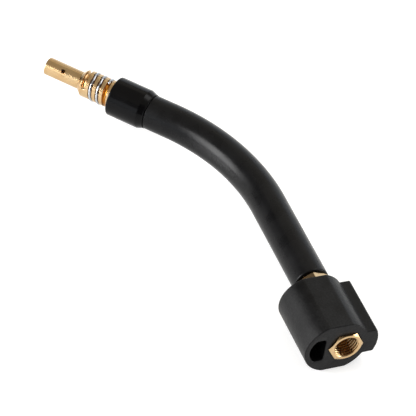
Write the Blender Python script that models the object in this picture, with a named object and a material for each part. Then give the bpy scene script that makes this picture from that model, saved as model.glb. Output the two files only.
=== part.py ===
"""Neck of a gas-cooled MIG/MAG welding torch, as a spare part: a bent insulated tube with the
nozzle seat and the contact tip holder at the front, and the handle block at the rear.

Two local frames hold the sizes. In each, +Z runs forward along the neck, +X is up and +Y is the
outer side of the bend. The rear frame starts at the block's rear face, and the front frame starts
where the bend ends. A station is a distance along +Z of its frame.
"""

import math

import bmesh
import bpy
from mathutils import Matrix, Vector

mm = 0.001
fit_gap = 0.3 * mm  # left between two pieces that touch on the real neck

# Driving dimensions of the neck's line
rear_run = 83.5 * mm  # block's rear face to the start of the bend
bend_radius = 90.0 * mm
bend_angle = math.radians(41)

# Handle block, along the rear frame
block_length = 28.5 * mm
block_half_height = 12.1 * mm
inner_side_centre, inner_side_radius = -4.9 * mm, 12.7 * mm
outer_side_centre, outer_side_radius = -3.2 * mm, 12.9 * mm
rib_half_width = 6.05 * mm
rib_top_centre, rib_top_radius = -0.4 * mm, 14.5 * mm
rib_corner = 1.0 * mm
lead_hole_flat = -9.1 * mm  # the straight side of the hole for the trigger leads
lead_hole_half_height = 5.7 * mm
lead_hole_centre, lead_hole_radius = -7.95 * mm, 7.6 * mm
lead_hole_corner = 1.3 * mm

# Threaded socket at the rear, turned from 13 mm hexagon bar
hex_across_flats = 13.0 * mm
socket_proud = 0.8 * mm
socket_head_end = 14.7 * mm
socket_thread_depth = 12.5 * mm
socket_thread_bore = 8.75 * mm  # M10 x 1.25 at its minor diameter
shank_d = 10.0 * mm
shank_end = 36.0 * mm
spigot_end = 42.0 * mm
wire_bore = 5.0 * mm
chamfer_angle = math.radians(30)
chamfer_start = 6.4 * mm  # radius where the hexagon's chamfer meets the end face

# Nut that clamps the block, in front of it
nut_length = 6.8 * mm
nut_turn = math.radians(-6.5)

# Tubes
cover_d = 15.3 * mm
cover_rear_end = 35.9 * mm
conductor_d = 10.0 * mm
conductor_bore = 7.4 * mm
conductor_front_end = 26.0 * mm

# Insulating sleeve, along the front frame
sleeve_rear, sleeve_shoulder, sleeve_front = 10.1 * mm, 13.2 * mm, 28.2 * mm
sleeve_d = 17.6 * mm
sleeve_rear_d = 15.7 * mm
sleeve_edge = 0.4 * mm
seat_pocket = 17.7 * mm  # where the sleeve's bore widens for the nozzle seat

# Nozzle seat with its helical groove
seat_rear, seat_cone, seat_front = 18.0 * mm, 42.7 * mm, 44.6 * mm
seat_d = 12.4 * mm
seat_mouth_d = 9.2 * mm
seat_shoulder = 30.0 * mm
groove_pitch = 3.5 * mm
groove_radius = 0.95 * mm
groove_centre = 6.05 * mm
groove_rear = 29.0 * mm
groove_stop = 40.0 * mm  # the spring's front end stands against this end of the groove
lead_in_rear = 41.2 * mm  # the groove starts again here and runs out over the cone
helix_station = 38.35 * mm  # where the groove's middle crosses the up direction

# Nozzle spring
spring_wire = 1.2 * mm
spring_centre = 5.98 * mm
spring_rear, spring_front = 31.25 * mm, 39.75 * mm

# Contact tip holder
holder_d = 8.0 * mm
holder_front = 62.1 * mm
holder_thread_depth = 8.0 * mm
holder_thread_bore = 5.0 * mm  # M6 at its minor diameter
holder_bore = 4.0 * mm
gas_hole_station = 53.2 * mm
gas_hole_d = 1.85 * mm
gas_hole_turn = math.radians(-41)

round_sides = 32


def clear_scene():
    for old in list(bpy.data.objects):
        bpy.data.objects.remove(old, do_unlink=True)


def material(name, colour, roughness, metallic):
    made = bpy.data.materials.new(name)
    made.use_nodes = True
    made.diffuse_color = (*colour, 1)
    shader = made.node_tree.nodes["Principled BSDF"]
    shader.inputs["Base Color"].default_value = (*colour, 1)
    shader.inputs["Roughness"].default_value = roughness
    shader.inputs["Metallic"].default_value = metallic
    return made


def local_frame(name, parent, location, turn):
    """An empty whose +Z runs forward along the neck, turned about the vertical by the bend."""
    empty = bpy.data.objects.new(name, None)
    empty.empty_display_size = 0.01
    bpy.context.collection.objects.link(empty)
    forward = Vector((-math.cos(turn), -math.sin(turn), 0))
    outer = Vector((-math.sin(turn), math.cos(turn), 0))
    up = Vector((0, 0, 1))
    columns = Matrix((up, outer, forward)).transposed()
    empty.parent = parent
    empty.matrix_local = Matrix.Translation(location) @ columns.to_4x4()
    return empty


def place(name, data, parent, finish):
    made = bpy.data.objects.new(name, data)
    bpy.context.collection.objects.link(made)
    made.parent = parent
    if finish:
        data.materials.append(finish)
    return made


def mesh_from(name, points, faces):
    mesh = bpy.data.meshes.new(name)
    mesh.from_pydata(points, [], faces)
    mesh.validate()
    return mesh


def smooth(made):
    made.data.shade_smooth()
    made.data.set_sharp_from_angle(angle=math.radians(35))


def turned(name, outside, inside, parent, finish, sides=round_sides):
    """A lathe part with a bore. Both outlines are (station, radius) from the rear to the front."""
    outline = list(reversed(outside)) + list(inside)
    points = [(radius, 0, station) for station, radius in outline]
    edges = [(i, (i + 1) % len(points)) for i in range(len(points))]
    mesh = bpy.data.meshes.new(name)
    mesh.from_pydata(points, edges, [])
    made = place(name, mesh, parent, finish)
    screw = made.modifiers.new("Turn", "SCREW")
    screw.axis = "Z"
    screw.steps = screw.render_steps = sides
    screw.use_merge_vertices = True
    screw.merge_threshold = 0.00001
    screw.use_smooth_shade = True
    return made


def prism(name, outline, start, end, parent, finish=None):
    """An outline of (up, outer) points, anticlockwise seen from the front, between two stations."""
    count = len(outline)
    points = [(x, y, station) for station in (start, end) for x, y in outline]
    faces = [tuple(reversed(range(count))), tuple(range(count, 2 * count))]
    faces += [(i, (i + 1) % count, count + (i + 1) % count, count + i) for i in range(count)]
    return place(name, mesh_from(name, points, faces), parent, finish)


def polygon(sides, radius, first_angle=0.0):
    step = 2 * math.pi / sides
    return [
        (radius * math.cos(first_angle + i * step), radius * math.sin(first_angle + i * step))
        for i in range(sides)
    ]


def arc(centre, radius, first, last, count):
    """Points (up, outer) on an arc about (centre up, centre outer). Angles turn from outer to up."""
    span = (last - first) / (count - 1)
    angles = [first + i * span for i in range(count)]
    return [
        (centre[0] + radius * math.sin(a), centre[1] + radius * math.cos(a)) for a in angles
    ]


def boolean(made, cutter, operation):
    cutter.hide_render = True
    cutter.display_type = "WIRE"
    modifier = made.modifiers.new(cutter.name, "BOOLEAN")
    modifier.operation = operation
    modifier.object = cutter


def bend_point(angle):
    """A point of the neck's line on the bend, seen from above, and the way forward there."""
    middle = Vector((
        -rear_run - bend_radius * math.sin(angle), -bend_radius * (1 - math.cos(angle)), 0
    ))
    return middle, Vector((-math.cos(angle), -math.sin(angle), 0))


def bent_tube(name, outer_d, bore_d, rear_station, front_station, sides, parent, finish):
    """A hollow tube along the neck: the rear run, the bend and the front run as one sweep."""
    bend_steps = 16
    line = [(Vector((-rear_station, 0, 0)), Vector((-1, 0, 0)))]
    line += [bend_point(bend_angle * i / bend_steps) for i in range(bend_steps + 1)]
    bend_end, forward = line[-1]
    line.append((bend_end + forward * front_station, forward))

    bm = bmesh.new()
    up = Vector((0, 0, 1))
    rings = []
    for middle, forward in line:
        outer = up.cross(-forward)
        for radius in (outer_d / 2, bore_d / 2):
            rings.append([
                bm.verts.new(middle + radius * (x * up + y * outer))
                for x, y in polygon(sides, 1.0)
            ])
    walls, bores = rings[0::2], rings[1::2]
    loops = walls + bores[::-1] + [walls[0]]
    for first, second in zip(loops, loops[1:]):
        for i in range(sides):
            j = (i + 1) % sides
            bm.faces.new((first[i], first[j], second[j], second[i]))
    bmesh.ops.recalc_face_normals(bm, faces=bm.faces)
    mesh = bpy.data.meshes.new(name)
    bm.to_mesh(mesh)
    bm.free()
    made = place(name, mesh, parent, finish)
    smooth(made)
    return made


def block_outline():
    """The block seen along the neck: round inner side, two flats, round outer side and the rib."""
    inner_angle = math.asin(block_half_height / inner_side_radius)
    outer_angle = math.asin(block_half_height / outer_side_radius)
    notch_angle = math.asin(rib_half_width / outer_side_radius)
    corner_up = rib_half_width - rib_corner
    rib_angle = math.asin(corner_up / (rib_top_radius - rib_corner))
    corner_outer = rib_top_centre + (rib_top_radius - rib_corner) * math.cos(rib_angle)

    upper = arc((0, rib_top_centre), rib_top_radius, 0, rib_angle, 5)
    upper += arc((corner_up, corner_outer), rib_corner, rib_angle, math.pi / 2, 4)[1:]
    upper += arc((0, outer_side_centre), outer_side_radius, notch_angle, outer_angle, 7)
    upper += arc((0, inner_side_centre), inner_side_radius, math.pi - inner_angle, math.pi, 13)
    lower = [(-x, y) for x, y in reversed(upper[1:-1])]
    return list(reversed(upper + lower))


def lead_hole_outline():
    """D-shaped: a straight side towards the socket and a round one along the block's wall."""
    corner_up = lead_hole_half_height - lead_hole_corner
    corner_outer = lead_hole_flat - lead_hole_corner
    side_angle = math.asin(lead_hole_half_height / lead_hole_radius)
    upper = arc((corner_up, corner_outer), lead_hole_corner, 0, math.pi / 2, 4)
    upper += arc((0, lead_hole_centre), lead_hole_radius, math.pi - side_angle, math.pi, 8)
    lower = [(-x, y) for x, y in reversed(upper[:-1])]
    return list(reversed(upper + lower))


def add_handle_block(frame, finish):
    block = prism("handle_block", block_outline(), 0, block_length, frame, finish)
    pocket_radius = (hex_across_flats / 2 + fit_gap) / math.cos(math.pi / 6)
    hex_outline = polygon(6, pocket_radius, math.pi / 2)
    past = 2 * mm
    pocket = prism("hex_pocket_cutter", hex_outline, -past, socket_head_end + fit_gap, frame)
    bore = prism(
        "shank_bore_cutter", polygon(24, shank_d / 2 + fit_gap), past, block_length + past, frame
    )
    lead_hole = prism("lead_hole_cutter", lead_hole_outline(), -past, block_length + past, frame)
    for cutter in (pocket, bore, lead_hole):
        boolean(block, cutter, "DIFFERENCE")
    smooth(block)


def cut_hexagon(made, start, end, corner_angle, frame):
    """What a hexagon bar leaves of a turned blank."""
    outline = polygon(6, hex_across_flats / 2 / math.cos(math.pi / 6), corner_angle)
    past = 2 * mm
    bar = prism(made.name + "_bar", outline, start - past, end + past, frame)
    boolean(made, bar, "INTERSECT")


def add_rear_socket(frame, finish):
    blank = 7.7 * mm
    chamfer = (blank - chamfer_start) * math.tan(chamfer_angle)
    countersink = 0.7 * mm
    thread_radius, shank_radius, bore_radius = socket_thread_bore / 2, shank_d / 2, wire_bore / 2
    spigot_radius = conductor_bore / 2 - fit_gap
    outside = [
        (-socket_proud, chamfer_start),
        (-socket_proud + chamfer, blank),
        (socket_head_end, blank),
        (socket_head_end, shank_radius),
        (shank_end, shank_radius),
        (shank_end, spigot_radius),
        (spigot_end, spigot_radius),
    ]
    inside = [
        (-socket_proud, thread_radius + countersink),
        (-socket_proud + countersink, thread_radius),
        (socket_thread_depth, thread_radius),
        (socket_thread_depth + (thread_radius - bore_radius) / 2, bore_radius),
        (spigot_end, bore_radius),
    ]
    socket = turned("rear_socket", outside, inside, frame, finish)
    cut_hexagon(socket, -socket_proud, spigot_end, math.pi / 2, frame)


def add_clamp_nut(frame, finish):
    blank = 7.7 * mm
    chamfer = (blank - chamfer_start) * math.tan(chamfer_angle)
    start = block_length + fit_gap
    end = start + nut_length
    bore = shank_d / 2 + fit_gap
    outside = [(start, chamfer_start), (start + chamfer, blank), (end - chamfer, blank), (end, chamfer_start)]
    nut = turned("clamp_nut", outside, [(start, bore), (end, bore)], frame, finish)
    cut_hexagon(nut, start, end, nut_turn, frame)


def add_front_sleeve(frame, finish):
    radius, rear_radius = sleeve_d / 2, sleeve_rear_d / 2
    conductor_hole = conductor_d / 2 + fit_gap
    seat_hole = seat_d / 2 + fit_gap
    outside = [
        (sleeve_rear, rear_radius - sleeve_edge),
        (sleeve_rear + sleeve_edge, rear_radius),
        (sleeve_shoulder - sleeve_edge, radius - sleeve_edge / 2),
        (sleeve_shoulder + sleeve_edge, radius),
        (sleeve_front - sleeve_edge, radius),
        (sleeve_front, radius - sleeve_edge),
    ]
    inside = [
        (sleeve_rear, conductor_hole),
        (seat_pocket, conductor_hole),
        (seat_pocket, seat_hole),
        (sleeve_front, seat_hole),
    ]
    turned("front_sleeve", outside, inside, frame, finish)


def groove_depth(station, angle):
    """How far the round-bottomed helical groove cuts below the seat's turned surface."""
    deepest = 0.0
    turn_rise = groove_pitch * angle / (2 * math.pi)
    for turn in range(-4, 4):
        middle = helix_station + turn_rise + turn * groove_pitch
        held = groove_rear <= middle <= groove_stop or middle >= lead_in_rear
        across = abs(station - middle)
        if held and across < groove_radius:
            floor = groove_centre - math.sqrt(groove_radius**2 - across**2)
            deepest = max(deepest, seat_d / 2 - floor)
    return deepest


def add_nozzle_seat(frame, finish):
    """Turned in brass: a plain rear for the sleeve, the grooved front, and a cone to the holder."""
    sides, rows = 40, 40
    first, radius, mouth = sleeve_front + 0.3 * mm, seat_d / 2, seat_mouth_d / 2
    conductor_hole, holder_hole = conductor_d / 2 + fit_gap, holder_d / 2 + fit_gap
    step = (seat_front - first) / rows
    stations = [seat_rear] + [first + i * step for i in range(rows + 1)]
    inside = [
        (seat_front, holder_hole),
        (seat_shoulder, holder_hole),
        (seat_shoulder, wire_bore / 2),
        (conductor_front_end + fit_gap, wire_bore / 2),
        (conductor_front_end + fit_gap, conductor_hole),
        (seat_rear, conductor_hole),
    ]
    points, faces = [], []
    for side in range(sides):
        angle = 2 * math.pi * side / sides
        outline = []
        for station in stations:
            cone = radius - max(0, station - seat_cone) * (radius - mouth) / (seat_front - seat_cone)
            outline.append((station, max(min(cone, radius - groove_depth(station, angle)), mouth)))
        outline += inside
        points += [(r * math.cos(angle), r * math.sin(angle), s) for s, r in outline]
    count = len(stations) + len(inside)
    for side in range(sides):
        this, following = side * count, (side + 1) % sides * count
        for i in range(count):
            j = (i + 1) % count
            faces.append((this + i, following + i, following + j, this + j))
    seat = place("nozzle_seat", mesh_from("nozzle_seat", points, faces), frame, finish)
    smooth(seat)


def add_nozzle_spring(frame, finish):
    """Round wire lying in the seat's groove, which grips the nozzle."""
    first = (spring_rear - helix_station) / groove_pitch * 2 * math.pi
    last = (spring_front - helix_station) / groove_pitch * 2 * math.pi
    steps = 60
    curve = bpy.data.curves.new("nozzle_spring", "CURVE")
    curve.dimensions = "3D"
    curve.bevel_depth = spring_wire / 2
    curve.bevel_resolution = 2
    curve.use_fill_caps = True
    spline = curve.splines.new("POLY")
    spline.points.add(steps)
    for i, point in enumerate(spline.points):
        angle = first + (last - first) * i / steps
        station = helix_station + groove_pitch * angle / (2 * math.pi)
        point.co = (spring_centre * math.cos(angle), spring_centre * math.sin(angle), station, 1)
    place("nozzle_spring", curve, frame, finish)


def add_tip_holder(frame, finish):
    radius, edge = holder_d / 2, 0.4 * mm
    thread_radius, bore_radius = holder_thread_bore / 2, holder_bore / 2
    rear = seat_shoulder + fit_gap
    thread_end = holder_front - holder_thread_depth
    outside = [(rear, radius), (holder_front - edge, radius), (holder_front, radius - edge)]
    inside = [
        (rear, bore_radius),
        (thread_end - (thread_radius - bore_radius), bore_radius),
        (thread_end, thread_radius),
        (holder_front - edge, thread_radius),
        (holder_front, thread_radius + edge),
    ]
    holder = turned("tip_holder", outside, inside, frame, finish)
    drill = prism("gas_hole_cutter", polygon(14, gas_hole_d / 2), -holder_d, holder_d, frame)
    aim = Vector((math.cos(gas_hole_turn), math.sin(gas_hole_turn), 0))
    turn = aim.to_track_quat("Z", "Y").to_matrix().to_4x4()
    drill.matrix_local = Matrix.Translation((0, 0, gas_hole_station)) @ turn
    boolean(holder, drill, "DIFFERENCE")


def main():
    clear_scene()
    brass = material("turned brass", (0.70, 0.48, 0.20), 0.25, 1)
    copper = material("drawn copper", (0.72, 0.35, 0.20), 0.35, 1)
    spring_steel = material("spring steel", (0.60, 0.60, 0.62), 0.25, 1)
    rubber = material("black rubber", (0.020, 0.020, 0.021), 0.55, 0)
    phenolic = material("black phenolic", (0.014, 0.014, 0.015), 0.30, 0)
    nylon = material("glass-filled nylon", (0.030, 0.030, 0.032), 0.65, 0)

    # The row's origin is under the middle of the whole neck, on the block's lower flat
    bend_end, forward = bend_point(bend_angle)
    tip = bend_end + forward * holder_front
    low_x = tip.x - holder_d / 2 * math.sin(bend_angle)
    low_y = tip.y - holder_d / 2 * math.cos(bend_angle)
    high_y = rib_top_centre + rib_top_radius
    neck = bpy.data.objects.new("neck_line", None)
    neck.location = (-(low_x + socket_proud) / 2, -(low_y + high_y) / 2, block_half_height)
    bpy.context.collection.objects.link(neck)
    rear = local_frame("rear_frame", neck, (0, 0, 0), 0)
    front = local_frame("front_frame", neck, bend_end, bend_angle)

    add_handle_block(rear, nylon)
    add_rear_socket(rear, brass)
    add_clamp_nut(rear, brass)
    bent_tube(
        "cover_tube", cover_d, conductor_d + 2 * fit_gap, cover_rear_end,
        sleeve_rear - fit_gap, 32, neck, rubber,
    )
    bent_tube(
        "conductor_tube", conductor_d, conductor_bore, shank_end + fit_gap,
        conductor_front_end, 20, neck, copper,
    )
    add_front_sleeve(front, phenolic)
    add_nozzle_seat(front, brass)
    add_nozzle_spring(front, spring_steel)
    add_tip_holder(front, brass)


main()
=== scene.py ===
import math
import bmesh
import bpy
import numpy as np
from mathutils import Matrix, Vector


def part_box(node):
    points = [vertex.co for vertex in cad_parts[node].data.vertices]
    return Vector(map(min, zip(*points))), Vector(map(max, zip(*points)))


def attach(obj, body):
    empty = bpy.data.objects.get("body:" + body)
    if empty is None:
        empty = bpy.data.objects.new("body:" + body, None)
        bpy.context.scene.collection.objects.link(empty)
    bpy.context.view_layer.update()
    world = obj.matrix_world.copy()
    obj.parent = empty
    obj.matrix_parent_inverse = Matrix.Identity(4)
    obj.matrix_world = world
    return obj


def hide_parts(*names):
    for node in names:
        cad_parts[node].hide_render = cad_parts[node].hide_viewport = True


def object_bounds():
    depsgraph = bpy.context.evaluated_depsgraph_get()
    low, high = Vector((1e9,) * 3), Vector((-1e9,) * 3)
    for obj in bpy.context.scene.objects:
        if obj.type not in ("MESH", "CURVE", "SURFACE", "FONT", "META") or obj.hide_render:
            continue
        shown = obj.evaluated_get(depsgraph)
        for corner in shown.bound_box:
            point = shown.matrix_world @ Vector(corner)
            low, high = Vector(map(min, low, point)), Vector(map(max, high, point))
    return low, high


# Bent neck of a gas-cooled welding torch: brass front parts, a rubber-covered tube and the handle block.
# Lengths are in millimetres until a mesh is made. A station is the path length along the neck's line,
# from the handle block's rear face forwards, and an angle turns from up towards the outer side of the bend.

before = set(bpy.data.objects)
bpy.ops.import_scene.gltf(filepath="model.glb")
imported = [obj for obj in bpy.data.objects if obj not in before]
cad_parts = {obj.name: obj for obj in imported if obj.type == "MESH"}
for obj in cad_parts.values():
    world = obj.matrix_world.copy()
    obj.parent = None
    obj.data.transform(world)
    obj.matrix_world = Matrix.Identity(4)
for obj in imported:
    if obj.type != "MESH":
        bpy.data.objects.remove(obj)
cadLow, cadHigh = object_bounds()
print("frame loaded with", len(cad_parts), "nodes")

mm = 0.001
fullTurn = 2 * math.pi

neckLine = {
    "rearRun": 83.5,                    # block's rear face to the start of the bend
    "bendRadius": 90.0,
    "bendAngle": math.radians(41),
    "axisBelowRib": 14.1,               # from the rib's outer face to the neck's axis
}

blockLow, blockHigh = (np.array(corner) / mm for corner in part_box("handle_block"))
neckStart = np.array([
    blockHigh[0],
    blockHigh[1] - neckLine["axisBelowRib"],
    (blockLow[2] + blockHigh[2]) / 2,
])
blockLength = blockHigh[0] - blockLow[0]
frontStart = neckLine["rearRun"] + neckLine["bendRadius"] * neckLine["bendAngle"]


def aroundNeck(station, angle, radius):
    # Centre: straight for the rear run, then round the bend, then straight again.
    # Point: centre + radius * (cos angle * up + sin angle * outer side).
    station, angle, radius = np.broadcast_arrays(station, angle, radius)
    turn = np.clip((station - neckLine["rearRun"]) / neckLine["bendRadius"], 0, neckLine["bendAngle"])
    before = np.minimum(station, neckLine["rearRun"])
    after = np.maximum(station - frontStart, 0)
    out = radius * np.sin(angle)
    x = -before - neckLine["bendRadius"] * np.sin(turn) - after * np.cos(turn) - out * np.sin(turn)
    y = -neckLine["bendRadius"] * (1 - np.cos(turn)) - after * np.sin(turn) + out * np.cos(turn)
    return np.stack([x, y, radius * np.cos(angle)], -1) + neckStart


def roundedPath(corners, radii, steps=4, hold=0.03):
    # A closed line: each corner becomes an arc of its radius between its tangent points, with one more
    # point just outside each of them, so that the faces beside the arc stay evenly lit.
    corners = np.array(corners, float)
    radii = np.broadcast_to(np.array(radii, float), len(corners))
    before, after = np.roll(corners, 1, 0) - corners, np.roll(corners, -1, 0) - corners
    before /= np.linalg.norm(before, axis=1)[:, None]
    after /= np.linalg.norm(after, axis=1)[:, None]
    half = np.arccos(np.clip((before * after).sum(1), -1, 1)) / 2
    reach = radii / np.tan(half)
    middle = before + after
    middle *= (radii / np.sin(half) / np.linalg.norm(middle, axis=1))[:, None]
    first, last = before * reach[:, None] - middle, after * reach[:, None] - middle
    share = np.linspace(0, 1, steps + 1)[None, :, None]
    sweep = (math.pi - 2 * half)[:, None, None]
    # Between two radii of the arc: each weighted by the sine of the turn left to the other one
    arcs = first[:, None] * np.sin((1 - share) * sweep) + last[:, None] * np.sin(share * sweep)
    arcs = arcs / np.sin(sweep) + (corners + middle)[:, None]
    points = np.concatenate([
        (corners + before * (reach + hold)[:, None])[:, None], arcs,
        (corners + after * (reach + hold)[:, None])[:, None],
    ], 1)
    return points.reshape(-1, 2)


def densified(points, longest):
    # Splits each stretch of a closed line that is longer than the given length into equal shorter ones.
    following = np.roll(points, -1, 0)
    lengths = np.linalg.norm(following - points, axis=-1)
    counts = np.maximum(1, np.ceil(lengths / longest)).astype(int)
    index = np.repeat(np.arange(len(points)), counts)
    share = (np.arange(counts.sum()) - np.repeat(np.cumsum(counts) - counts, counts)) / counts[index]
    return points[index] + (following - points)[index] * share[:, None]


def gridFaces(rows, columns, closedRows=True, firstVertex=0):
    # Quads between neighbours in a grid of points. Each row is a closed ring, and the last row may
    # join the first one.
    i, j = np.meshgrid(np.arange(rows if closedRows else rows - 1), np.arange(columns), indexing="ij")
    here, after, beside = i * columns, (i + 1) % rows * columns, (j + 1) % columns
    quads = np.stack([here + j, here + beside, after + beside, after + j], -1)
    return quads.reshape(-1, 4) + firstVertex


def surfaceUv(points):
    # u is the share of a turn, v the length in millimetres along the closed profile from its first row.
    columns = points.shape[1]
    steps = np.linalg.norm(np.roll(points, -1, 0) - points, axis=-1).mean(1)
    v = np.concatenate([[0], np.cumsum(steps)])
    u = np.arange(columns + 1) / columns
    lower, upper = v[:-1], v[1:]
    left, right = u[:-1], u[1:]
    corners = [(left, lower), (right, lower), (right, upper), (left, upper)]
    return np.stack([
        np.stack(np.broadcast_arrays(across[None, :], along[:, None]), -1) for across, along in corners
    ], 2).reshape(-1, 2)


def signedVolume(points, quads):
    # Sum over the quads of the volume to the origin, times six: above zero if the faces look outwards.
    a, b, c, d = (points[quads[:, k]] for k in range(4))
    return (np.cross(a, b) * c).sum() + (np.cross(a, c) * d).sum()


mergeDistance = 1e-7                    # metres
smallestFace = 5e-12                    # square metres; a face below this is a closed-up sliver


def makePiece(name, points, quads, finish, node, uv=None, sharpAngle=50, paintedShade=None):
    # Turns the grid's faces outwards, merges what coincides and hands the piece to the frame.
    # The last argument is a painted-shade mask: 1 at the bottom of a groove or thread, 0 on open surfaces.
    points = points.reshape(-1, 3)
    if signedVolume(points - points.mean(0), quads) < 0:
        quads = quads[:, ::-1]
        if uv is not None:
            uv = uv.reshape(-1, 4, 2)[:, ::-1].reshape(-1, 2)
    mesh = bpy.data.meshes.new(name)
    mesh.from_pydata(points * mm, [], quads)
    if uv is not None:
        layer = mesh.uv_layers.new(name="alongPiece")
        layer.data.foreach_set("uv", uv.astype(np.float32).ravel())
    # The painted-shade mask goes on the points, for the brass finish to read
    if paintedShade is not None:
        layer = mesh.attributes.new(name="paintedShade", type="FLOAT", domain="POINT")
        layer.data.foreach_set("value", paintedShade.astype(np.float32).ravel())
    bm = bmesh.new()
    bm.from_mesh(mesh)
    bmesh.ops.remove_doubles(bm, verts=bm.verts, dist=mergeDistance)
    slivers = [face for face in bm.faces if face.calc_area() < smallestFace]
    bmesh.ops.delete(bm, geom=slivers, context="FACES")
    bm.to_mesh(mesh)
    bm.free()
    mesh.validate()
    mesh.shade_smooth()
    mesh.set_sharp_from_angle(angle=math.radians(sharpAngle))
    mesh.materials.append(finish)
    piece = bpy.data.objects.new(name, mesh)
    bpy.context.scene.collection.objects.link(piece)
    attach(piece, "root")
    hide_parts(node)
    return piece


def turnedPiece(name, profile, columns, finish, node, start=0.0):
    # Each profile point (station, radius) goes once round the neck's line.
    angle = np.arange(columns) * fullTurn / columns
    points = aroundNeck(start + profile[:, :1], angle[None, :], profile[:, 1:])
    quads = gridFaces(len(profile), columns)
    return makePiece(name, points, quads, finish, node, surfaceUv(points))


def colour(hexCode):
    # sRGB hex to linear RGBA: x / 12.92 below 0.04045, else ((x + 0.055) / 1.055) to the power 2.4.
    values = [int(hexCode[i:i + 2], 16) / 255 for i in (0, 2, 4)]
    return (*[v / 12.92 if v <= 0.04045 else ((v + 0.055) / 1.055) ** 2.4 for v in values], 1.0)


def addNode(tree, kind, inputs=None, **settings):
    # An input is a value, or another node's output to link.
    node = tree.nodes.new(kind)
    for key, value in settings.items():
        setattr(node, key, value)
    for socket, value in (inputs or {}).items():
        if isinstance(value, bpy.types.NodeSocket):
            tree.links.new(value, node.inputs[socket])
        else:
            node.inputs[socket].default_value = value
    return node


def newMaterial(name):
    made = bpy.data.materials.new(name)
    made.use_nodes = True
    tree = made.node_tree
    tree.nodes.clear()
    shader = addNode(tree, "ShaderNodeBsdfPrincipled")
    output = addNode(tree, "ShaderNodeOutputMaterial", {"Surface": shader.outputs[0]})
    output.location = (300, 0)
    return made, tree, shader


def turnedBrass(name, bright, tarnish, feed, roughness, paintedShadeColour="B0732A"):
    # Free-cutting brass, turned: fine rings left by the tool at each feed step in millimetres, and
    # duller in grooves and threads, where painted shade also makes the colour browner and darker. The eye
    # gets sharp lengthwise bands of light that smear only along the piece, and painted warm dark shade in
    # the grooves.
    made, tree, shader = newMaterial(name)
    place = addNode(tree, "ShaderNodeTexCoord")
    cloud = addNode(tree, "ShaderNodeTexNoise", {
        "Vector": place.outputs["Object"], "Scale": 1 / (6.0 * mm), "Detail": 2.0, "Roughness": 0.5,
    })
    share = addNode(tree, "ShaderNodeMapRange", {
        "Value": cloud.outputs["Fac"], "From Min": 0.4, "From Max": 0.75, "To Max": 0.35,
    })
    unshadedColour = addNode(tree, "ShaderNodeMix", {
        0: share.outputs["Result"], 6: colour(bright), 7: colour(tarnish),
    }, data_type="RGBA")
    # Painted-shade mask from the piece: 1 deep in grooves and threads
    paintedShade = addNode(tree, "ShaderNodeAttribute", attribute_name="paintedShade")
    # Painted shade: the colour moves to the dark brown shade colour where the mask is high
    tint = addNode(tree, "ShaderNodeMix", {
        0: paintedShade.outputs["Fac"], 6: unshadedColour.outputs[2], 7: colour(paintedShadeColour),
    }, data_type="RGBA")
    along = addNode(tree, "ShaderNodeSeparateXYZ", {"Vector": place.outputs["UV"]})
    rings = addNode(tree, "ShaderNodeTexNoise", {
        "W": along.outputs["Y"], "Scale": 1 / feed, "Detail": 1.0,
    }, noise_dimensions="1D")
    clear = addNode(tree, "ShaderNodeMapRange", {
        "Value": paintedShade.outputs["Fac"], "From Max": 0.2, "To Min": 1.0, "To Max": 0.0,
    })
    height = addNode(tree, "ShaderNodeMath", {
        0: rings.outputs["Fac"], 1: clear.outputs["Result"],
    }, operation="MULTIPLY")
    bump = addNode(tree, "ShaderNodeBump", {
        "Height": height.outputs[0], "Distance": 0.002 * mm, "Strength": 1.0,
    })
    # Rougher where the painted-shade mask is high
    dullInHollows = addNode(tree, "ShaderNodeMath", {
        0: paintedShade.outputs["Fac"], 1: 0.15, 2: roughness,
    }, operation="MULTIPLY_ADD")
    dull = addNode(tree, "ShaderNodeMath", {
        0: cloud.outputs["Fac"], 1: 0.10, 2: dullInHollows.outputs[0],
    }, operation="MULTIPLY_ADD")
    across = addNode(tree, "ShaderNodeTangent", direction_type="UV_MAP", uv_map="alongPiece")
    tree.links.new(tint.outputs[2], shader.inputs["Base Color"])
    tree.links.new(dull.outputs[0], shader.inputs["Roughness"])
    tree.links.new(bump.outputs["Normal"], shader.inputs["Normal"])
    tree.links.new(across.outputs["Tangent"], shader.inputs["Tangent"])
    shader.inputs["Anisotropic"].default_value = 0.4
    shader.inputs["Anisotropic Rotation"].default_value = 0.25
    shader.inputs["Metallic"].default_value = 1.0
    return made


def hardDrawnSteel():
    # Spring steel wire, drawn through a die: bright and smooth, with broad faint changes of gloss.
    made, tree, shader = newMaterial("hardDrawnSpringSteel")
    place = addNode(tree, "ShaderNodeTexCoord")
    patches = addNode(tree, "ShaderNodeTexNoise", {
        "Vector": place.outputs["Object"], "Scale": 1 / (2.5 * mm), "Detail": 2.0,
    })
    tint = addNode(tree, "ShaderNodeMix", {
        0: patches.outputs["Fac"], 6: colour("C2C4C7"), 7: colour("A6A8AC"),
    }, data_type="RGBA")
    dull = addNode(tree, "ShaderNodeMapRange", {
        "Value": patches.outputs["Fac"], "To Min": 0.16, "To Max": 0.26,
    })
    tree.links.new(tint.outputs[2], shader.inputs["Base Color"])
    tree.links.new(dull.outputs["Result"], shader.inputs["Roughness"])
    shader.inputs["Metallic"].default_value = 1.0
    return made


def drawnCopper():
    # Copper tube, drawn: reddish, a little dull, with soft brown patches.
    made, tree, shader = newMaterial("drawnCopperTube")
    place = addNode(tree, "ShaderNodeTexCoord")
    cloud = addNode(tree, "ShaderNodeTexNoise", {
        "Vector": place.outputs["Object"], "Scale": 1 / (3 * mm), "Detail": 4.0,
    })
    tint = addNode(tree, "ShaderNodeMix", {
        0: cloud.outputs["Fac"], 6: colour("D98A62"), 7: colour("9A5434"),
    }, data_type="RGBA")
    tree.links.new(tint.outputs[2], shader.inputs["Base Color"])
    shader.inputs["Roughness"].default_value = 0.38
    shader.inputs["Metallic"].default_value = 1.0
    return made


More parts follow.
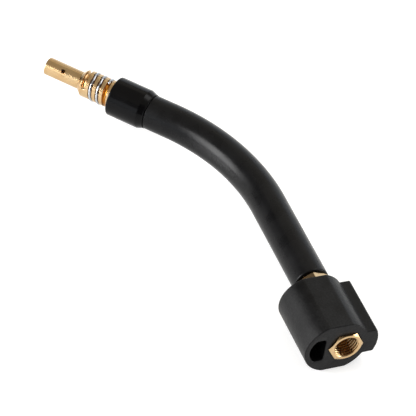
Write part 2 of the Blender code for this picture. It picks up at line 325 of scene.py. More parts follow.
def mouldedBlack(name, dark, light, grain, depth, roughness, spread, specular):
    # Black moulded polymer: nearly even colour, with a fine grain in the surface that breaks up the
    # highlight, and broader faint patches where it is more or less dull. Grain and depth are the
    # grain's width and height in millimetres.
    made, tree, shader = newMaterial(name)
    place = addNode(tree, "ShaderNodeTexCoord")
    fine = addNode(tree, "ShaderNodeTexNoise", {
        "Vector": place.outputs["Object"], "Scale": 1 / (grain * mm), "Detail": 3.0, "Roughness": 0.6,
    })
    broad = addNode(tree, "ShaderNodeTexNoise", {
        "Vector": place.outputs["Object"], "Scale": 1 / (9 * mm), "Detail": 3.0,
    })
    tone = addNode(tree, "ShaderNodeMath", {
        0: fine.outputs["Fac"], 1: broad.outputs["Fac"],
    }, operation="MULTIPLY")
    share = addNode(tree, "ShaderNodeMapRange", {
        "Value": tone.outputs[0], "From Min": 0.14, "From Max": 0.42,
    })
    tint = addNode(tree, "ShaderNodeMix", {
        0: share.outputs["Result"], 6: colour(dark), 7: colour(light),
    }, data_type="RGBA")
    dull = addNode(tree, "ShaderNodeMapRange", {
        "Value": broad.outputs["Fac"], "From Min": 0.3, "From Max": 0.7,
        "To Min": roughness - spread, "To Max": roughness + spread,
    })
    bump = addNode(tree, "ShaderNodeBump", {
        "Height": fine.outputs["Fac"], "Distance": depth * mm, "Strength": 1.0,
    })
    tree.links.new(tint.outputs[2], shader.inputs["Base Color"])
    tree.links.new(dull.outputs["Result"], shader.inputs["Roughness"])
    tree.links.new(bump.outputs["Normal"], shader.inputs["Normal"])
    shader.inputs["Specular IOR Level"].default_value = specular
    return made


# Each finish's last colour, given or by default, is painted shade for grooves, threads and bores
brass = turnedBrass("turnedBrass", "C6AA81", "AC7B3E", 0.12, 0.16)
holderBrass = turnedBrass("turnedBrassHolder", "C3A67C", "A87A42", 0.10, 0.16, "7A4618")
springSteel = hardDrawnSteel()
copper = drawnCopper()
rubber = mouldedBlack("mouldedRubber", "0D0D0E", "151516", 0.50, 0.012, 0.28, 0.05, 0.12)
phenolic = mouldedBlack("mouldedPhenolic", "060607", "09090A", 0.25, 0.002, 0.18, 0.04, 0.11)
# The glass fibres give real nylon a grain near 0.2 mm, which is too fine to show, so it is coarser here
nylon = mouldedBlack("glassFilledNylon", "080809", "1A1A1B", 0.80, 0.08, 0.42, 0.06, 0.145)
print("materials made")


handleBlock = {
    "halfHeight": 12.1,
    "innerSide": (-4.9, 12.7),          # arc's centre towards the outer side, and its radius
    "outerSide": (-3.2, 12.9),
    "ribTop": (-0.4, 14.5),
    "ribHalfWidth": 6.05,
    "ribCorner": 0.9,
    "spacing": 0.2,                     # between the outline's points
    "softening": 0.6,                   # reach of the moving average that rounds the outline's corners
    "edge": 0.45,                       # rounding of the two ends
    "pocketFlats": 13.3,
    "pocketCorner": 0.35,
    "pocketDepth": 14.8,
    "shankBore": 5.1,
    "holeEdge": 0.2,
    "leadHoleFlat": -9.1,
    "leadHoleHalfHeight": 5.7,
    "leadHoleArc": (-7.95, 7.6),
    "leadHoleCorner": 1.3,
    "leadHoleMiddle": -12.2,
    "holeSpacing": 0.1,                 # between the points round the two holes
    "hold": 0.05,                       # from a rounding to the next row, so that flat faces stay evenly lit
    "split": -8.0,                      # line between the faces round the pocket and round the lead hole
    "splitPoints": 120,
}


def arcPoints(centre, radius, first, last, count):
    # (towards outer side, up) on an arc about (centre, 0), the angle turning from the outer side to up
    angle = np.linspace(first, last, count)
    return np.stack([centre + radius * np.cos(angle), radius * np.sin(angle)], -1)


def evenLoop(points, spacing):
    # The same closed line with points at an even spacing.
    closedLine = np.concatenate([points, points[:1]])
    length = np.concatenate([[0], np.cumsum(np.linalg.norm(np.diff(closedLine, axis=0), axis=1))])
    wanted = np.linspace(0, length[-1], int(length[-1] / spacing) // 2 * 2, endpoint=False)
    return np.stack([np.interp(wanted, length, closedLine[:, k]) for k in (0, 1)], -1)


def blockOutline():
    # Two round sides, two flats and the rib, then a moving average along the line to soften its corners.
    b = handleBlock
    height = b["halfHeight"]
    innerAngle = math.pi - math.asin(height / b["innerSide"][1])
    outerAngle = math.asin(height / b["outerSide"][1])
    notchAngle = math.asin(b["ribHalfWidth"] / b["outerSide"][1])
    cornerUp = b["ribHalfWidth"] - b["ribCorner"]
    ribAngle = math.asin(cornerUp / (b["ribTop"][1] - b["ribCorner"]))
    cornerOut = b["ribTop"][0] + (b["ribTop"][1] - b["ribCorner"]) * math.cos(ribAngle)
    corner = arcPoints(cornerOut, b["ribCorner"], ribAngle, math.pi / 2, 10) + [0, cornerUp]
    upper = np.concatenate([
        arcPoints(*b["ribTop"], 0, ribAngle, 20),
        corner,
        arcPoints(*b["outerSide"], notchAngle, outerAngle, 30),
        arcPoints(*b["innerSide"], innerAngle, math.pi, 60),
    ])
    outline = evenLoop(np.concatenate([upper, upper[-2:0:-1] * [1, -1]]), b["spacing"])
    width = int(b["softening"] / b["spacing"])
    outline = sum(np.roll(outline, k, 0) for k in range(-width, width + 1)) / (2 * width + 1)
    # The points nearest the split line move onto it, along the flats
    for sign in (1, -1):
        onFlat = outline[:, 1] * sign > height - 0.01
        fromSplit = np.where(onFlat, np.abs(outline[:, 0] - b["split"]), np.inf)
        outline[fromSplit.argmin()] = b["split"], height * sign
    return outline


def loopNormals(loop):
    # The direction from the point before to the point after, turned a quarter.
    along = np.roll(loop, -1, 0) - np.roll(loop, 1, 0)
    along /= np.linalg.norm(along, axis=1)[:, None]
    return np.stack([along[:, 1], -along[:, 0]], -1)


def alongRay(loop, centre, angle):
    # Distance from the centre to the loop in the direction of each angle.
    offset = loop - centre
    loopAngle = np.arctan2(offset[:, 1], offset[:, 0])
    order = np.argsort(loopAngle)
    return np.interp(angle, loopAngle[order], np.linalg.norm(offset, axis=1)[order], period=fullTurn)


def atStation(station, flat):
    # (outer side, up) points to the frame, at a station of the straight rear run
    return np.stack([np.full(len(flat), -float(station)), flat[:, 0], flat[:, 1]], -1) + neckStart


def holedFaces(boundary, moves, centre, stations, distances, opening):
    # Rear face, the hole's wall and front face as one grid. A hole row is the opening's loop, widened
    # by the row's distance, at the row's station. A face row lies on the face's boundary, a small move
    # inside it, or halfway from there to the hole.
    offset = boundary - centre
    angle = np.arctan2(offset[:, 1], offset[:, 0])
    direction = np.stack([np.cos(angle), np.sin(angle)], -1)
    reach = opening(angle)
    hole = centre + direction[None] * (reach + distances)[..., None]
    moved = boundary + moves
    halfway = (moved + hole[0]) / 2
    flats = np.concatenate([[boundary, moved, halfway], hole, [halfway, moved, boundary]])
    where = np.concatenate([[0] * 3, stations, [blockLength] * 3])
    return np.stack([atStation(s, row) for s, row in zip(where, flats)])


def faceLoops(outline, normals):
    # The end face is split by a straight divider into the part round the pocket and the part round the
    # lead hole. For each part: its closed loop, and the small step inwards of each point.
    b = handleBlock
    split = b["split"]
    face = outline - normals * b["edge"]
    first, last = np.where(outline[:, 0] == split)[0]
    if outline[first, 1] < 0:
        first, last = last, first
    count = len(outline)
    pocketPart = (first + np.arange((last - first) % count + 1)) % count
    holePart = (last + np.arange((first - last) % count + 1)) % count
    if face[pocketPart, 0].mean() < face[holePart, 0].mean():
        first, last = last, first
        pocketPart, holePart = holePart, pocketPart
    up = np.linspace(face[last, 1], face[first, 1], b["splitPoints"])[1:-1]
    divider = np.stack([np.full(len(up), split), up], -1)
    loops = []
    for part, line in ((pocketPart, divider), (holePart, divider[::-1])):
        moves = -normals[part] * b["hold"]
        loops.append((np.concatenate([face[part], line]), np.concatenate([moves, np.zeros_like(line)])))
    return loops


def quarterRound(radius):
    # (station, distance) from the face's own level to the wall's
    turn = np.linspace(0, math.pi / 2, 4)
    return radius * (1 - np.cos(turn)), radius * (1 - np.sin(turn))


def makeHandleBlock():
    b = handleBlock
    hold = b["hold"]
    outline = blockOutline()
    normals = loopNormals(outline)
    if ((outline + normals) ** 2).sum() < (outline ** 2).sum():
        normals = -normals
    onSplit = outline[:, 0] == b["split"]
    normals[onSplit] = np.stack([np.zeros(2), np.sign(outline[onSplit, 1])], -1)

    # Outer wall: rear rounding, straight wall, front rounding, as (station, distance inside)
    turn = np.linspace(math.pi / 2, 0, 5)
    rounding = b["edge"] * np.stack([1 - np.sin(turn), 1 - np.cos(turn)], -1)
    wallStart = b["edge"] + 0.03
    straight = np.array([(wallStart, 0), (blockLength / 2, 0), (blockLength - wallStart, 0)])
    rows = np.concatenate([rounding, straight, rounding[::-1] * [-1, 1] + [blockLength, 0]])
    wall = np.stack([atStation(station, outline - normals * inside) for station, inside in rows])
    (pocketLoop, pocketMoves), (leadLoop, leadMoves) = faceLoops(outline, normals)
    edgeStation, edgeDistance = quarterRound(b["holeEdge"])
    edge = b["holeEdge"]

    # Hexagon pocket down to its floor, then the shank's bore
    corner = np.arange(6) * math.pi / 3
    corners = b["pocketFlats"] / math.sqrt(3) * np.stack([np.cos(corner), np.sin(corner)], -1)
    hexagon = densified(roundedPath(corners, b["pocketCorner"]), b["holeSpacing"])
    centre = np.zeros(2)
    toBore = b["shankBore"] - alongRay(hexagon, centre, np.arctan2(pocketLoop[:, 1], pocketLoop[:, 0]))
    floor = b["pocketDepth"]
    stations = [*edgeStation, edge + hold, floor - hold, floor, floor, floor + hold]
    stations += [blockLength - edge - hold, blockLength - 0.06, blockLength, blockLength]
    distances = [np.full(len(toBore), d) for d in [*edgeDistance, 0, 0, 0]]
    distances += [toBore, toBore, toBore, toBore + hold, toBore + edge, toBore + edge + hold]
    pocket = holedFaces(pocketLoop, pocketMoves, centre, np.array(stations), np.array(distances),
                        lambda angle: alongRay(hexagon, centre, angle))

    # D-shaped lead hole: an arc, a flat and two round corners
    arcCentre, arcRadius = b["leadHoleArc"]
    side = math.asin(b["leadHoleHalfHeight"] / arcRadius)
    arc = arcPoints(arcCentre, arcRadius, math.pi - side, math.pi + side, 50)
    rounded = b["leadHoleCorner"]
    quarter = arcPoints(b["leadHoleFlat"] - rounded, rounded, 0, math.pi / 2, 8)
    quarter += [0, b["leadHoleHalfHeight"] - rounded]
    leadHole = densified(np.concatenate([quarter, arc, quarter[::-1] * [1, -1]]), b["holeSpacing"])
    leadCentre = np.array([b["leadHoleMiddle"], 0])
    stations = [*edgeStation, edge + hold, blockLength / 2, blockLength - edge - hold]
    stations += [*(blockLength - edgeStation[::-1])]
    distances = np.array([*edgeDistance, 0, 0, 0, *edgeDistance[::-1]])[:, None]
    lead = holedFaces(leadLoop, leadMoves, leadCentre, np.array(stations), distances,
                      lambda angle: alongRay(leadHole, leadCentre, angle))

    # The wall's loop turns the other way from the two holed grids' loops, so their faces are turned round
    points, quads, used = [], [], 0
    for grid, order in ((wall, 1), (pocket, -1), (lead, -1)):
        rowCount, columnCount = grid.shape[:2]
        points.append(grid.reshape(-1, 3))
        quads.append(gridFaces(rowCount, columnCount, closedRows=False, firstVertex=used)[:, ::order])
        used += rowCount * columnCount
    makePiece("handleBlock", np.concatenate(points), np.concatenate(quads), nylon,
              "handle_block")


makeHandleBlock()
print("handle block made")


hexagonBar = {
    "acrossFlats": 13.0,
    "cornerRounding": 0.18,
    "spacing": 0.55,                    # between the points round it
    "chamferStart": 6.4,
    "chamferAngle": math.radians(30),
}

rearSocket = {
    "proud": 0.8,
    "headEnd": 14.7,
    "shankRadius": 5.0,
    "shankEnd": 36.0,
    "spigotRadius": 3.4,
    "spigotEnd": 42.0,
    "wireBore": 2.5,
    "minorRadius": 5.0,                 # of the thread's crests
    "threadHeight": 0.62,
    "pitch": 1.25,
    "threadDepth": 12.5,
    "threadStep": 0.05,                 # between the thread's rows
    "threadFade": 1.0,                  # length over which the thread runs out at its bottom
    "countersink": 5.4,
    "countersinkSlope": 1.5,            # radius lost for each millimetre inwards
    # Painted shade in the thread: the share of its height left bright, and the painted shade added with
    # depth
    "paintedShadeOffset": 0.3,                # share of the thread's height that stays bright
    "paintedShadeWithDepth": 0.2,             # extra darkness at the thread's bottom
}

clampNut = {
    "start": 28.62,
    "length": 6.8,
    "turn": math.radians(-6.5),
    "bore": 5.06,
    "boreChamfer": 0.3,
}


def hexagonLoop(turn):
    # Angle and radius at each column of a hexagon with small round corners.
    radius = hexagonBar["acrossFlats"] / math.sqrt(3)
    corner = turn + np.arange(6) * math.pi / 3
    corners = np.stack([radius * np.cos(corner), radius * np.sin(corner)], -1)
    loop = roundedPath(corners, hexagonBar["cornerRounding"], steps=3, hold=0.04)
    loop = densified(loop, hexagonBar["spacing"])
    return np.arctan2(loop[:, 1], loop[:, 0]), np.linalg.norm(loop, axis=1)


def nutThread(angle, station, minorRadius, height, pitch):
    # Radius of a right-hand thread in a hole: the station less the helix's rise there gives the place
    # across one pitch, and the hole is widest at the middle of the pitch, with sloping flanks whose
    # ends are a little rounded.
    rootFlat, flank, softness = 0.14, 0.60, 0.35
    place = (station / pitch - angle / fullTurn) % 1.0
    fromRoot = np.abs(place - 0.5) * 2
    rise = np.clip((fromRoot - rootFlat) / flank, 0, 1)
    crest = rise * rise * (3 - 2 * rise) * softness + rise * (1 - softness)
    return minorRadius + height * (1 - crest)


def ringsOf(parts, columns):
    # Rows of (station, radius); a value may be one number or one for each column.
    station = np.stack([np.broadcast_to(s, columns) for s, _ in parts])
    radius = np.stack([np.broadcast_to(r, columns) for _, r in parts])
    return station, radius


def chamferRows(face, direction, radius):
    # From the end face over the chamfer's cone to the hexagon, whose meeting line rises at the corners.
    slope = math.tan(hexagonBar["chamferAngle"]) * direction
    start = hexagonBar["chamferStart"]
    nearEdge = 0.03
    along = np.array([0, 0.04, 0.5])[:, None]
    cone = list(zip(face + (radius - start) * slope * along, start + (radius - start) * along))
    top = face + (radius - start) * slope
    return [
        (face, start - 2 * nearEdge), *cone, (top - nearEdge * slope, radius - nearEdge),
        (top, radius), (top + 0.04 * direction, radius),
    ]


def makeRearSocket():
    s = rearSocket
    angle, radius = hexagonLoop(math.pi / 2)
    columns = len(angle)
    mouth = -s["proud"]
    rows = chamferRows(mouth, 1, radius)
    rows += [(s["headEnd"] - 0.05, radius), (s["headEnd"], radius), (s["headEnd"], s["shankRadius"])]
    rows += [(s["shankEnd"], s["shankRadius"]), (s["shankEnd"], s["spigotRadius"])]
    rows += [(s["spigotEnd"], s["spigotRadius"]), (s["spigotEnd"], s["wireBore"])]
    rows += [(s["threadDepth"] + 1.2, s["wireBore"]), (s["threadDepth"] + 0.2, s["minorRadius"] - 0.3)]
    station = np.arange(s["threadDepth"], mouth, -s["threadStep"])
    cone = s["countersink"] - (station - mouth) * s["countersinkSlope"]
    fade = np.clip((s["threadDepth"] - station) / s["threadFade"], 0, 1)
    firstThread = len(rows)
    for here, wide, share in zip(station, cone, fade):
        thread = nutThread(angle, here, s["minorRadius"], s["threadHeight"] * share, s["pitch"])
        rows.append((here, np.clip(thread, wide, s["countersink"] + (here - mouth))))
    lastThread = len(rows)
    rows += [(mouth + 0.02, s["countersink"])]
    rows += [(mouth, s["countersink"] + more) for more in (0.06, 0.12)]
    station, radius = ringsOf(rows, columns)
    points = aroundNeck(station, angle[None, :], radius)
    # Painted shade in the threaded hole: darker and browner towards each thread's root, and more towards the
    # hole's bottom
    depth = np.clip((radius - s["minorRadius"]) / s["threadHeight"] - s["paintedShadeOffset"], 0, 1)
    depth = np.clip(depth + s["paintedShadeWithDepth"] * station / s["threadDepth"], 0, 1)
    paintedShade = np.zeros_like(radius)
    inHole = slice(firstThread - 2, lastThread)
    paintedShade[inHole] = depth[inHole]
    makePiece("rearSocket", points, gridFaces(*points.shape[:2]), brass, "rear_socket",
              surfaceUv(points), sharpAngle=60, paintedShade=paintedShade)


def makeClampNut():
    n = clampNut
    angle, radius = hexagonLoop(n["turn"])
    start, end = n["start"], n["start"] + n["length"]
    bore, chamfer = n["bore"], n["boreChamfer"]
    rows = chamferRows(start, 1, radius)
    rows += chamferRows(end, -1, radius)[::-1]
    rows += [(end, bore + chamfer), (end - chamfer, bore), (start + chamfer, bore), (start, bore + chamfer)]
    station, radius = ringsOf(rows, len(angle))
    points = aroundNeck(station, angle[None, :], radius)
    makePiece("clampNut", points, gridFaces(*points.shape[:2]), brass, "clamp_nut",
              surfaceUv(points))


makeRearSocket()
makeClampNut()
print("rear brass made")


coverTube = {
    "rearEnd": 35.9,
    "frontEnd": 9.9,                    # from the end of the bend
    "radius": 7.65,
    "bore": 5.3,
    "roundings": (0.2, 0.6, 0.15, 0.1),     # rear bore, rear rim, front rim, front bore
    "unevenness": 0.025,
    "columns": 112,
}

frontSleeve = {
    "profile": [                        # station from the end of the bend, radius, rounding
        (10.2, 5.3, 0.1), (10.2, 7.9, 0.35), (10.8, 7.9, 0.15), (13.25, 8.8, 0.4), (28.2, 8.8, 0.6),
        (28.2, 6.32, 0.2), (17.75, 6.32, 0.1), (17.75, 5.3, 0.1),
    ],
    "columns": 112,
}


def makeCoverTube():
    # A hose shape along the neck's line. Its radius wavers by the mean of three sine waves that run
    # round it and along it, by a few hundredths of a millimetre.
    c = coverTube
    rear, front = c["rearEnd"], frontStart + c["frontEnd"]
    corners = [(rear, c["bore"]), (rear, c["radius"]), (front, c["radius"]), (front, c["bore"])]
    profile = densified(roundedPath(corners, c["roundings"]), 1.5)
    angle = np.arange(c["columns"]) * fullTurn / c["columns"]
    station, radius = profile[:, :1], profile[:, 1:]
    waves = [(7.3, 2, 0), (4.1, -3, 1), (17, 1, 2)]     # length along it, waves round it, starting angle
    waver = sum(np.sin(station / length + count * angle + start) for length, count, start in waves)
    waver = waver / len(waves) * c["unevenness"] * (radius > c["radius"] - 0.01)
    points = aroundNeck(station, angle[None, :], radius + waver)
    makePiece("coverTube", points, gridFaces(*points.shape[:2]), rubber, "cover_tube",
              surfaceUv(points))


def makeFrontSleeve():
    shape = np.array(frontSleeve["profile"])
    profile = densified(roundedPath(shape[:, :2], shape[:, 2]), 2.0)
    turnedPiece("frontSleeve", profile, frontSleeve["columns"], phenolic,
                "front_sleeve", frontStart)


makeCoverTube()
makeFrontSleeve()
print("tube and sleeve made")

# The tube inside has the right shape already and only needs its finish
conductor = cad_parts["conductor_tube"]
conductor.data.materials.clear()
conductor.data.materials.append(copper)


nozzleSeat = {
    "rear": 18.0,
    "tubePocketEnd": 26.3,
    "tubePocket": 5.25,
    "wireBore": 2.5,
    "grooveArea": 28.5,                 # the fine rows start here
    "cone": 42.7,
    "front": 44.6,
    "radius": 6.2,
    "mouthRadius": 4.6,
    "shoulder": 30.0,
    "grooveRadius": 0.95,
    "grooveCentre": 6.05,
    "groovePitch": 3.5,
    "grooveRear": 29.0,
    "grooveStop": 40.0,
    "leadInRear": 41.2,
    "helixStation": 38.35,              # the groove's middle at angle 0
    "rowStep": 0.045,
    "columns": 160,
}

nozzleSpring = {
    "wireRadius": 0.6,
    "centreRadius": 5.98,
    "rear": 31.25,
    "front": 39.75,
    "endRounding": 0.35,
    "capRows": 6,
    "rows": 360,
    "columns": 20,
}

tipHolder = {
    "rear": 30.15,
    "front": 62.1,
    "radius": 4.0,
    "bore": 2.0,
    "minorRadius": 2.46,                # M6 nut thread
    "threadHeight": 0.54,
    "pitch": 1.0,
    "threadDepth": 8.0,
    "threadStep": 0.05,
    "threadFade": 0.8,
    "mouth": 3.05,
    "mouthSlope": 0.9,
    # Painted shade in the bore reaches its full darkness this far inside the mouth
    "paintedShadeDepth": 6.0,                   # inside the mouth, where the bore is at its darkest
    "edge": 0.35,
    "columns": 96,
    "gasHole": 53.2,
    "gasHoleRadius": 0.925,
    "gasHoleEdge": 0.03,
    "gasHoleTurn": math.radians(-41),
    "gasHoleColumns": 40,
}


def grooveDepth(station, angle):
    # Distance from the helical groove's middle line, taken along the axis and, past a groove's end,
    # also along the groove; the cut is a round-bottomed channel with slightly flared walls.
    n = nozzleSeat
    middle = n["helixStation"] + n["groovePitch"] * (angle / fullTurn + np.arange(-5, 4)[:, None, None])
    past = np.maximum(middle - n["grooveStop"], n["grooveRear"] - middle)
    past = np.minimum(np.maximum(past, 0), np.maximum(n["leadInRear"] - middle, 0))
    past *= fullTurn * n["radius"] / n["groovePitch"]
    across = np.hypot(station - middle, past) / n["grooveRadius"]
    floor = 1 - np.clip(across, 0, 1) ** 2
    floor = n["grooveCentre"] - n["grooveRadius"] * np.sqrt(floor)
    flareFrom, flareSlope = 0.85, 3.4
    flare = n["grooveCentre"] + n["grooveRadius"] * (flareSlope * (across - flareFrom) - 0.52)
    shape = np.where(across < flareFrom, floor, flare)
    return np.maximum(n["radius"] - shape, 0).max(0)


def makeNozzleSeat():
    n = nozzleSeat
    rear, front, outside, mouth = n["rear"], n["front"], n["radius"], n["mouthRadius"]
    columns = n["columns"]
    angle = (np.arange(columns) * fullTurn / columns)[None, :]
    station = np.arange(n["grooveArea"], front - 0.12, n["rowStep"])[:, None]
    coneSlope = (outside - mouth) / (front - n["cone"])
    cone = outside - np.maximum(0, station - n["cone"]) * coneSlope
    grooved = np.minimum(cone, outside - grooveDepth(station, angle))
    grooved = np.maximum(grooved, mouth - 0.05)
    hole = tipHolder["radius"] + 0.04
    chamfer = 0.15
    before = [(rear, n["tubePocket"]), (rear, outside - chamfer), (rear + chamfer, outside)]
    before += [(n["grooveArea"] - 0.3, outside)]
    after = [
        (front - 0.04, mouth - 0.06), (front, mouth - 0.14), (front, hole + 0.2), (front - 0.2, hole),
        (n["shoulder"], hole), (n["shoulder"], n["wireBore"]),
        (n["tubePocketEnd"], n["wireBore"]), (n["tubePocketEnd"], n["tubePocket"]),
    ]
    rearStation, rearRadius = ringsOf(before, columns)
    frontStation, frontRadius = ringsOf(after, columns)
    station = np.concatenate([rearStation, np.broadcast_to(station, grooved.shape), frontStation])
    radius = np.concatenate([rearRadius, grooved, frontRadius])
    points = aroundNeck(frontStart + station, angle, radius)
    # Painted shade grows with the depth below the land or the cone, and the lead-in's groove gets less of it
    depth = np.where(station > n["grooveArea"], outside - radius, 0)
    coneDepth = np.maximum(0, station - n["cone"]) * coneSlope
    paintedShade = np.clip((depth - coneDepth - 0.05) / 0.8, 0, 1)
    paintedShade *= np.where(station > n["grooveStop"], 0.3, 1.0) * (station < front - 0.05)
    makePiece("nozzleSeat", points, gridFaces(*points.shape[:2]), brass, "nozzle_seat",
              surfaceUv(points), sharpAngle=75, paintedShade=paintedShade)


def makeNozzleSpring():
    # A round wire carried along the helix: centre at (centreRadius, angle), station rising with the
    # angle. The wire's radius falls to nothing over its last rounding at each end.
    w, n = nozzleSpring, nozzleSeat
    centre = w["centreRadius"]
    first = (w["rear"] - n["helixStation"]) / n["groovePitch"] * fullTurn
    last = (w["front"] - n["helixStation"]) / n["groovePitch"] * fullTurn
    share = np.linspace(0, 1, w["capRows"])
    capTurn = w["endRounding"] / centre * np.sin(share * math.pi / 2)
    capSize = np.sqrt(1 - (1 - share) ** 2)
    middle = np.linspace(first + 0.07, last - 0.07, w["rows"])
    turn = np.concatenate([first + capTurn, middle, last - capTurn[::-1]])[:, None]
    size = np.concatenate([capSize, np.ones(w["rows"]), capSize[::-1]])[:, None] * w["wireRadius"]
    size = np.maximum(size, 1e-5)
    around = np.arange(w["columns"]) * fullTurn / w["columns"]
    # Across the wire: away from the axis, and along the neck tilted by the helix's lead
    lead = math.atan(n["groovePitch"] / fullTurn / centre)
    radius = centre + size * np.cos(around)
    along = size * np.sin(around)
    station = n["helixStation"] + n["groovePitch"] * turn / fullTurn + along * math.cos(lead)
    angle = turn - along * math.sin(lead) / centre
    points = aroundNeck(frontStart + station, angle, radius)
    quads = gridFaces(*points.shape[:2], closedRows=False)
    makePiece("nozzleSpring", points, quads, springSteel, "nozzle_spring")


def makeTipHolder():
    t = tipHolder
    columns = t["columns"]
    angle = (np.arange(columns) * fullTurn / columns)[None, :]
    rear, front, edge, outside = t["rear"], t["front"], t["edge"], t["radius"]
    chamfer, hold = 0.2, 0.05
    rows = [(rear, t["bore"]), (rear, outside - chamfer), (rear + chamfer, outside)]
    rows += [(s, outside) for s in np.linspace(46, front - edge - hold, 12)]
    turn = np.linspace(0, math.pi / 2, 5)
    rows += list(zip(front - edge + edge * np.sin(turn), outside - edge + edge * np.cos(turn)))
    rows += [(front, outside - edge - hold), (front, t["mouth"] + 0.06), (front - 0.03, t["mouth"])]
    station = np.arange(front - hold, front - t["threadDepth"], -t["threadStep"])
    cone = t["mouth"] - (front - station) * t["mouthSlope"]
    fade = np.clip((station - front + t["threadDepth"]) / t["threadFade"], 0, 1)
    for here, wide, share in zip(station, cone, fade):
        thread = nutThread(angle[0], here, t["minorRadius"], t["threadHeight"] * share, t["pitch"])
        rows.append((here, np.maximum(thread, wide)))
    bottom = front - t["threadDepth"]
    rows += [(bottom - 0.1, t["minorRadius"]), (bottom - 0.5, t["bore"])]
    station, radius = ringsOf(rows, columns)
    points = aroundNeck(frontStart + station, angle, radius)
    # Painted shade inside: dark at the thread's roots, and everywhere from a few millimetres in
    depth = np.maximum((radius - t["minorRadius"]) / t["threadHeight"], (front - station) / t["paintedShadeDepth"])
    paintedShade = np.clip(depth, 0, 1) * (radius < t["mouth"] - hold)
    holder = makePiece("tipHolder", points, gridFaces(*points.shape[:2]), holderBrass, "tip_holder",
                       surfaceUv(points), paintedShade=paintedShade)
    drillThrough(holder)


def drillThrough(holder):
    # One drill through both walls, across the holder. It is a little wider at the holder's surface,
    # which takes the hole's sharp edge off. The hole's wall gets the painted shade colour all over.
    t = tipHolder
    columns = t["gasHoleColumns"]
    around = np.arange(columns) * fullTurn / columns
    middle = aroundNeck(frontStart + t["gasHole"], 0, 0)
    tip = aroundNeck(frontStart + t["gasHole"], t["gasHoleTurn"], 1.0) - middle
    along = aroundNeck(frontStart + t["gasHole"] + 1, 0, 0) - middle
    side = np.cross(tip, along)
    wide = t["gasHoleRadius"] + t["gasHoleEdge"]
    outer = t["radius"] + 0.02
    half = [(outer - 0.05, t["gasHoleRadius"]), (outer, wide), (t["radius"] + 2, wide)]
    rows = np.array([(-reach, size) for reach, size in half[::-1]] + half)
    ring = np.cos(around)[:, None] * along + np.sin(around)[:, None] * side
    points = (middle + rows[:, :1, None] * tip + rows[:, 1:, None] * ring).reshape(-1, 3)
    quads = gridFaces(len(rows), columns, closedRows=False)
    caps = [list(range(columns)), list(range(len(points) - columns, len(points)))]
    mesh = bpy.data.meshes.new("drill")
    mesh.from_pydata(points * mm, [], quads.tolist() + caps)
    # The drill's points carry full painted shade, which the cut passes on to the hole's wall
    paintedShade = mesh.attributes.new(name="paintedShade", type="FLOAT", domain="POINT")
    paintedShade.data.foreach_set("value", np.ones(len(points), np.float32))
    bm = bmesh.new()
    bm.from_mesh(mesh)
    bmesh.ops.recalc_face_normals(bm, faces=bm.faces)
    bm.to_mesh(mesh)
    bm.free()
    drill = bpy.data.objects.new("drill", mesh)
    bpy.context.scene.collection.objects.link(drill)
    cut = holder.modifiers.new("gasHole", "BOOLEAN")
    cut.operation = "DIFFERENCE"
    cut.solver = "EXACT"
    cut.object = drill
    bpy.context.view_layer.update()
    done = bpy.data.meshes.new_from_object(holder.evaluated_get(bpy.context.evaluated_depsgraph_get()))
    holder.modifiers.clear()
    holder.data = done
    done.name = "tipHolder"
    offset = np.empty(len(done.vertices) * 3, np.float32)
    done.vertices.foreach_get("co", offset)
    offset = offset.reshape(-1, 3) / mm - middle
    fromAxis = np.linalg.norm(offset - (offset @ tip)[:, None] * tip, axis=1)
    values = np.empty(len(fromAxis), np.float32)
    done.attributes["paintedShade"].data.foreach_get("value", values)
    # Full painted shade on the gas hole's wall
    values[fromAxis < t["gasHoleRadius"] + 0.01] = 1
    done.attributes["paintedShade"].data.foreach_set("value", values)
    done.set_sharp_from_angle(angle=math.radians(50))
    bpy.data.objects.remove(drill)


makeNozzleSeat()
makeNozzleSpring()
makeTipHolder()
print("front brass and spring made")


studio = {
    "floorHalf": 8.0,                   # metres
    "floorGlow": 0.64,                  # the table is lit from below, so shadows stay faint
    "worldColour": (1.0, 0.8, 0.6, 1),
    "worldStrength": 0.05,
    "cool": (0.94, 1.0, 1.07),
    "warm": (1.0, 0.94, 0.80),
}

cameraView = {
    "sensor": 36,                       # millimetres, as the lens
    "lens": 207.883,
    "place": (0.66136, -0.33194, 0.69109),
    "ahead": (-0.653908, 0.33241, -0.679638),
    "right": (0.349831, 0.929357, 0.11796),
}


def makeFloor():
    half = studio["floorHalf"]
    mesh = bpy.data.meshes.new("floor")
    corners = [(-half, -half, 0), (half, -half, 0), (half, half, 0), (-half, half, 0)]
    mesh.from_pydata(corners, [], [(0, 1, 2, 3)])
    floor = bpy.data.objects.new("floor", mesh)
    floor.location.z = cadLow[2] - 0.0001
    bpy.context.scene.collection.objects.link(floor)
    # Opal acrylic sheet of a light table: even white, with a soft gloss at low angles
    made, _, shader = newMaterial("opalAcrylic")
    shader.inputs["Base Color"].default_value = colour("CCCCCC")
    shader.inputs["Roughness"].default_value = 0.25
    shader.inputs["IOR"].default_value = 1.49
    shader.inputs["Emission Color"].default_value = (1, 1, 1, 1)
    shader.inputs["Emission Strength"].default_value = studio["floorGlow"]
    mesh.materials.append(made)


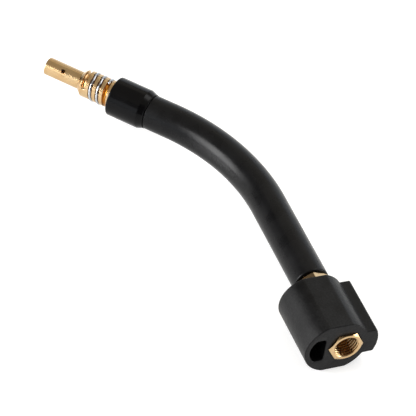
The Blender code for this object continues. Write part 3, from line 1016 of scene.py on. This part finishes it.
def softbox(name, azimuth, elevation, distance, size, power, tone=(1.0, 1.0, 1.0)):
    # An area light at a distance from the object's middle, facing it. Angles in degrees, the azimuth
    # from the handle's rear end towards the bend's outer side.
    azimuth, elevation = math.radians(azimuth), math.radians(elevation)
    centre = (cadLow + cadHigh) / 2
    data = bpy.data.lights.new(name, "AREA")
    data.shape = "RECTANGLE"
    data.size, data.size_y = size
    data.energy = power
    data.color = tone
    light = bpy.data.objects.new(name, data)
    flat = math.cos(elevation)
    direction = Vector((flat * math.cos(azimuth), flat * math.sin(azimuth), math.sin(elevation)))
    light.location = centre + direction * distance
    light.rotation_euler = direction.to_track_quat("Z", "Y").to_euler()
    bpy.context.scene.collection.objects.link(light)


def makeCamera():
    # 208 mm lens about a metre away, seen from above the block's inner side, tilted about 9 degrees.
    data = bpy.data.cameras.new("camera")
    data.sensor_width = cameraView["sensor"]
    data.lens = cameraView["lens"]
    data.clip_start, data.clip_end = 0.05, 20
    camera = bpy.data.objects.new("camera", data)
    place = Vector(cameraView["place"])
    ahead = Vector(cameraView["ahead"]).normalized()
    right = Vector(cameraView["right"])
    right = (right - ahead * right.dot(ahead)).normalized()     # square to the viewing direction
    up = right.cross(ahead)
    turn = Matrix((right, up, -ahead)).transposed()
    camera.matrix_world = Matrix.Translation(place) @ turn.to_4x4()
    bpy.context.scene.collection.objects.link(camera)
    bpy.context.scene.camera = camera


makeFloor()
softbox("sidePanel", -101, 20, 1.0, (0.42, 0.58), 15.0)
softbox("sideFill", -66, 13, 1.2, (0.80, 0.50), 1.8, studio["cool"])
softbox("backPanel", 148, 14, 1.4, (1.9, 0.62), 4.6, studio["cool"])
softbox("backHighPanel", 158, 42, 1.5, (1.6, 0.6), 2.6, studio["warm"])
softbox("topPanel", -117, 84, 1.5, (2.0, 2.0), 6.1, studio["warm"])
softbox("rightPanel", 88, 52, 1.0, (0.8, 0.6), 5.6)
softbox("rearPanel", 54, 4, 1.2, (0.6, 0.5), 9.0)
makeCamera()

world = bpy.data.worlds.new("studio")
bpy.context.scene.world = world
world.use_nodes = True
background = world.node_tree.nodes["Background"]
background.inputs["Color"].default_value = studio["worldColour"]
background.inputs["Strength"].default_value = studio["worldStrength"]
bpy.context.scene.view_settings.view_transform = "Standard"
print("studio ready")
